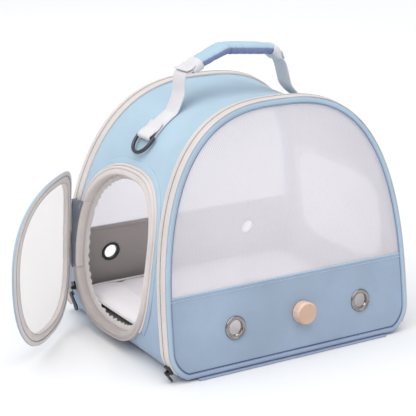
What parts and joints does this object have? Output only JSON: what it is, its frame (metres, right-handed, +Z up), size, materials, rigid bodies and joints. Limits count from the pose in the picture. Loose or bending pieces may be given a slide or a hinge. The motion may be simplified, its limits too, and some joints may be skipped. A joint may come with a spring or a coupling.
{
  "type": "bird travel carrier",
  "caption": "Soft-sided arched carrier for a small bird, with zipped mesh front and back panels, a mesh side door, a padded carry handle, D-rings, eyelets and a perch with a wooden knob.",
  "frame": {"origin": "centre of the base's underside, on the surface that the carrier stands on", "axes": "+X to the right along the front panel, -Y out of the front panel, +Z up"},
  "size_m": [0.4258, 0.2612, 0.3173],
  "materials": {
    "blue_fabric": "soft padded polyester fabric, matt",
    "border_fabric": "padded polyester border, matt",
    "grey_lining": "thin plain lining, matt",
    "band_blue": "stiffened canvas band, fine weave",
    "band_grey": "stiffened canvas band, fine weave",
    "white_mesh": "fine woven mesh",
    "beige_tape": "ribbed zip tape and binding",
    "white_webbing": "ribbed webbing",
    "mat_fabric": "soft pleated fabric over foam",
    "foam": "soft foam pad in a thin sleeve",
    "board": "plain pressed board",
    "spring_steel": "bare strip",
    "nickel": "bright nickel",
    "black_metal": "black enamel, satin",
    "dark_metal": "dark gunmetal plating, satin",
    "black_pull": "black moulded, satin",
    "pale_wood": "turned wood, oiled"
  },
  "bodies": {
    "shell": {"shell_wrap": "blue_fabric", "shell_lining": "grey_lining", "base_pad": "foam", "base_board": "board", "front_hinge_strip": "border_fabric", "back_hinge_strip": "border_fabric", "front_zip_tape": "beige_tape", "back_zip_tape": "beige_tape", "front_stay": "spring_steel", "back_stay": "spring_steel", "door_frame": "beige_tape", "door_zip_tape": "beige_tape", "door_hinge_piping": "blue_fabric", "side_window_mesh": "white_mesh", "side_window_binding": "beige_tape", "left_side_strap": "white_webbing", "right_side_strap": "white_webbing"},
    "front_panel": {"front_border": "border_fabric", "front_band": "band_blue", "front_mesh": "white_mesh", "front_panel_tape": "beige_tape", "front_eyelets": "nickel", "perch": "pale_wood", "perch_bolt": "nickel"},
    "knob": {"front_knob": "pale_wood"},
    "back_panel": {"back_border": "border_fabric", "back_band": "band_grey", "back_mesh": "white_mesh", "back_panel_tape": "beige_tape", "back_eyelets": "black_metal"},
    "side_door": {"door_rim": "beige_tape", "door_cover": "blue_fabric", "door_mesh": "white_mesh"},
    "door_zip_slider": {"door_slider": "black_metal"},
    "door_zip_link": {"door_link": "nickel"},
    "door_zip_pull": {"door_pull": "black_pull"},
    "front_zip_slider": {"front_slider": "black_metal"},
    "front_zip_pull": {"front_pull": "black_pull"},
    "back_zip_slider": {"back_slider": "black_metal"},
    "back_zip_pull": {"back_pull": "black_pull"},
    "handle": {"handle_grip": "blue_fabric", "left_handle_cap": "white_webbing", "right_handle_cap": "white_webbing", "left_handle_strap": "white_webbing", "right_handle_strap": "white_webbing"},
    "left_ring": {"left_d_ring": "dark_metal"},
    "right_ring": {"right_d_ring": "dark_metal"},
    "mat": {"floor_mat": "mat_fabric"}
  },
  "joints": [
    {"name": "front_panel_opens", "type": "hinge", "parent": "shell", "child": "front_panel", "pos_m": [0, -0.1276, 0.002], "axis": [1, 0, 0], "range_deg": [0, 85]},
    {"name": "back_panel_opens", "type": "hinge", "parent": "shell", "child": "back_panel", "pos_m": [0, 0.1275, 0.002], "axis": [-1, 0, 0], "range_deg": [0, 90]},
    {"name": "knob_turns", "type": "hinge", "parent": "front_panel", "child": "knob", "pos_m": [0.011, -0.12173, 0.047], "axis": [0, -0.9912, 0.1322], "continuous": true},
    {"name": "door_swings", "type": "hinge", "parent": "shell", "child": "side_door", "pos_m": [-0.15163, 0.09027, 0.103], "axis": [0, 0, -1], "range_deg": [-45, 70]},
    {"name": "door_zip_runs", "type": "hinge", "parent": "shell", "child": "door_zip_slider", "pos_m": [-0.15038, 0.0237, 0.06858], "axis": [-1, 0, 0], "range_deg": [0, 15]},
    {"name": "door_link_lifts", "type": "hinge", "parent": "door_zip_slider", "child": "door_zip_link", "pos_m": [-0.15588, 0.08655, 0.04106], "axis": [0, 0.9274, -0.3742], "range_deg": [0, 16]},
    {"name": "door_pull_swings", "type": "hinge", "parent": "door_zip_link", "child": "door_zip_pull", "pos_m": [-0.15588, 0.08393, 0.03457], "axis": [1, 0, 0], "range_deg": [-60, 60]},
    {"name": "front_zip_runs", "type": "hinge", "parent": "shell", "child": "front_zip_slider", "pos_m": [-0.117, -0.1167, 0.033], "axis": [0, 1, 0], "range_deg": [0, 32]},
    {"name": "front_pull_lifts", "type": "hinge", "parent": "front_zip_slider", "child": "front_zip_pull", "pos_m": [-0.14944, -0.1167, 0.01037], "axis": [0, 1, 0], "range_deg": [0, 120]},
    {"name": "back_zip_runs", "type": "hinge", "parent": "shell", "child": "back_zip_slider", "pos_m": [0.117, 0.11593, 0.033], "axis": [0, -1, 0], "range_deg": [0, 32]},
    {"name": "back_pull_lifts", "type": "hinge", "parent": "back_zip_slider", "child": "back_zip_pull", "pos_m": [0.14944, 0.11593, 0.01037], "axis": [0, -1, 0], "range_deg": [0, 120]},
    {"name": "handle_tips", "type": "hinge", "parent": "shell", "child": "handle", "pos_m": [0, -0.003, 0.25449], "axis": [1, 0, 0], "range_deg": [-60, 60]},
    {"name": "left_ring_lifts", "type": "hinge", "parent": "shell", "child": "left_ring", "pos_m": [-0.10769, -0.003, 0.22664], "axis": [0, 1, 0], "range_deg": [0, 150]},
    {"name": "right_ring_lifts", "type": "hinge", "parent": "shell", "child": "right_ring", "pos_m": [0.10769, -0.003, 0.22664], "axis": [0, -1, 0], "range_deg": [0, 150]},
    {"name": "mat_lifts_out", "type": "slide", "parent": "shell", "child": "mat", "axis": [0, 0, 1], "range_m": [0, 0.005]}
  ]
}
